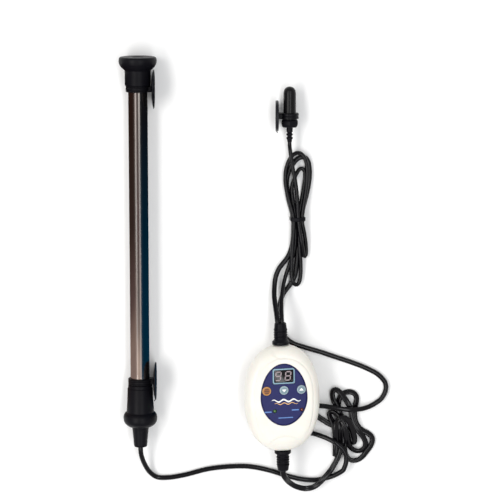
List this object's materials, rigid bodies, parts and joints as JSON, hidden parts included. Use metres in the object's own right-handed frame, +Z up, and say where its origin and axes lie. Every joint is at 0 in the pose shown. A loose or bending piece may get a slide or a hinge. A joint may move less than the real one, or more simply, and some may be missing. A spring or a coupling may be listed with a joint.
{
  "type": "submersible aquarium heater",
  "caption": "Titanium tube aquarium heater with suction clips, a wired temperature probe and an in-line thermostat with display and keys, lying with its leads bundled.",
  "frame": {"origin": "on the surface the object lies on, under the middle of the box round its rigid parts (heater, probe and thermostat, without the free leads and the plug)", "axes": "+Z up from the table; +Y along the heater tube from its lead end to its guard cap; +X from the heater towards the thermostat"},
  "size_m": [0.2667, 0.441, 0.0481],
  "materials": {
    "titanium": "satin, drawn along its length",
    "black_rubber": "matt moulded",
    "seal_rubber": "matt",
    "clip_rubber": "satin moulded",
    "cup_rubber": "smooth, slightly glossy",
    "ceramic": "fired, matt",
    "heating_wire": "drawn wire",
    "magnesia": "packed powder",
    "steel": "plated",
    "epoxy": "cast",
    "sensor_black": "satin",
    "case_cream": "satin moulded",
    "label_navy": "satin printed film",
    "bezel_blue": "satin print",
    "display_window": "polished, dark",
    "black_plastic": "moulded",
    "key_orange": "satin",
    "key_grey": "satin",
    "board_green": "lacquered laminate",
    "led_green": "clear tinted",
    "led_red": "clear tinted",
    "relay_blue": "moulded",
    "coil_yellow": "taped winding",
    "block_green": "moulded",
    "lead_jacket": "smooth flexible jacket",
    "mains_jacket": "ridged flexible jacket",
    "brass": "bright"
  },
  "bodies": {
    "frame": {"titanium_tube": "titanium", "top_end_cap": "black_rubber", "bottom_end_cap": "black_rubber", "cable_boot": "black_rubber", "top_seal_ring": "seal_rubber", "bottom_seal_ring": "seal_rubber", "ceramic_core": "ceramic", "heating_coil": "heating_wire", "magnesia_sleeve": "magnesia", "thermal_cutout": "steel", "potting_plug": "epoxy", "sensor_shell": "sensor_black", "sensor_collar": "black_rubber", "sensor_boot": "black_rubber", "thermistor_bead": "epoxy", "sensor_potting": "epoxy", "front_shell": "case_cream", "back_shell": "case_cream", "label_plate": "label_navy", "display_bezel": "bezel_blue", "display_window": "display_window", "display_module": "black_plastic", "set_switch": "black_plastic", "down_switch": "black_plastic", "up_switch": "black_plastic", "circuit_board": "board_green", "power_led": "led_green", "heating_led": "led_red", "microcontroller": "black_plastic", "relay": "relay_blue", "transformer": "coil_yellow", "terminal_block": "block_green", "top_gland": "black_rubber", "bottom_gland": "black_rubber", "case_screw_1": "steel", "case_screw_2": "steel", "case_screw_3": "steel", "case_screw_4": "steel", "heater_lead_1": "lead_jacket", "heater_lead_2": "lead_jacket", "sensor_lead_1": "lead_jacket", "sensor_lead_2": "lead_jacket", "cord_hank": "lead_jacket", "hank_tie": "seal_rubber", "mains_lead_1": "mains_jacket", "mains_lead_2": "mains_jacket", "mains_bundle": "mains_jacket", "plug_body": "black_plastic", "plug_blade_1": "brass", "plug_blade_2": "brass"},
    "upper_clip": {"upper_clip_ring": "clip_rubber"},
    "lower_clip": {"lower_clip_ring": "clip_rubber"},
    "upper_cup": {"upper_suction_cup": "cup_rubber"},
    "lower_cup": {"lower_suction_cup": "cup_rubber"},
    "sensor_clip": {"sensor_clip_ring": "clip_rubber"},
    "sensor_cup": {"sensor_suction_cup": "cup_rubber"},
    "set_button": {"set_key": "key_orange"},
    "down_button": {"down_key": "key_grey"},
    "up_button": {"up_key": "key_grey"}
  },
  "joints": [
    {"name": "upper_clip_slide", "type": "slide", "parent": "frame", "child": "upper_clip", "axis": [0, -1, 0], "range_m": [0, 0.12]},
    {"name": "lower_clip_slide", "type": "slide", "parent": "frame", "child": "lower_clip", "axis": [0, 1, 0], "range_m": [0, 0.12]},
    {"name": "upper_cup_swivel", "type": "hinge", "parent": "upper_clip", "child": "upper_cup", "pos_m": [-0.06633, 0.17554, 0.019], "axis": [1, 0, 0], "continuous": true},
    {"name": "lower_cup_swivel", "type": "hinge", "parent": "lower_clip", "child": "lower_cup", "pos_m": [-0.06633, -0.11756, 0.019], "axis": [1, 0, 0], "continuous": true},
    {"name": "sensor_clip_slide", "type": "slide", "parent": "frame", "child": "sensor_clip", "axis": [0, 1, 0], "range_m": [0, 0.018]},
    {"name": "sensor_cup_swivel", "type": "hinge", "parent": "sensor_clip", "child": "sensor_cup", "pos_m": [0.05667, 0.14854, 0.0152], "axis": [-1, 0, 0], "continuous": true},
    {"name": "set_press", "type": "slide", "parent": "frame", "child": "set_button", "axis": [-0.1478, -0.0031, -0.989], "range_m": [0, 0.0006], "stiffness_N_per_m": 900},
    {"name": "down_press", "type": "slide", "parent": "frame", "child": "down_button", "axis": [-0.1478, -0.0031, -0.989], "range_m": [0, 0.0006], "stiffness_N_per_m": 900},
    {"name": "up_press", "type": "slide", "parent": "frame", "child": "up_button", "axis": [-0.1478, -0.0031, -0.989], "range_m": [0, 0.0006], "stiffness_N_per_m": 900}
  ]
}
